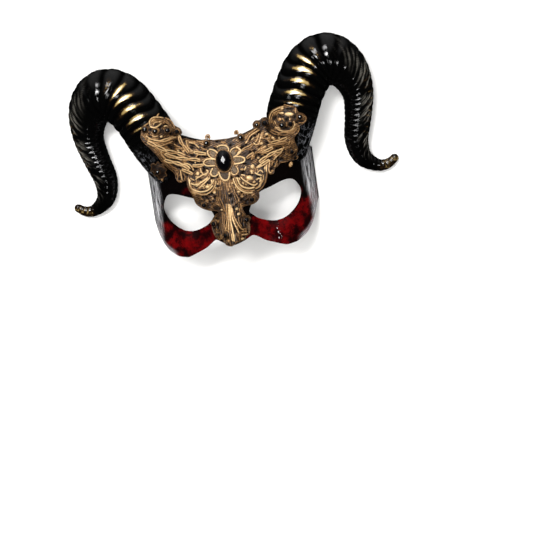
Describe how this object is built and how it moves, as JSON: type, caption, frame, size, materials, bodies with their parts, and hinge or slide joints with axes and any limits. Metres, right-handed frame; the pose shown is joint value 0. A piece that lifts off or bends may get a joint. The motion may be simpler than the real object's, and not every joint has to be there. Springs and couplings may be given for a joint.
{
  "type": "masquerade mask",
  "caption": "Horned half mask: thin moulded face shell with eye holes, curled ridged horns, pierced gold lace over brow and nose, oval stone and beads",
  "frame": {"origin": "middle of the underside of the whole mask's bounding box, on the surface that it lies on", "axes": "+X across the face to the right as seen from the front, +Y up the face towards the horns, +Z out of the face"},
  "size_m": [0.2828, 0.1706, 0.0699],
  "materials": {
    "shell_lacquer": "black lacquer that runs into deep mottled red on the cheeks, high gloss outside, matt black inside",
    "horn_black": "glossy black with gold rubbed on the crests of the ridges",
    "gold_lace": "stiffened gold corded lace, satin",
    "black_stone": "polished black, faceted"
  },
  "bodies": {
    "root": {"shell": "shell_lacquer", "horn_right": "horn_black", "horn_left": "horn_black", "lace": "gold_lace", "gem": "black_stone", "bead_01": "black_stone", "bead_02": "black_stone", "bead_03": "black_stone", "bead_04": "black_stone", "bead_05": "black_stone", "bead_06": "black_stone", "bead_07": "black_stone", "bead_08": "black_stone", "bead_09": "black_stone", "bead_10": "black_stone", "bead_11": "black_stone", "bead_12": "black_stone", "bead_13": "black_stone", "bead_14": "black_stone", "bead_15": "black_stone", "bead_16": "black_stone", "bead_17": "black_stone", "bead_18": "black_stone", "bead_19": "black_stone"}
  },
  "joints": []
}
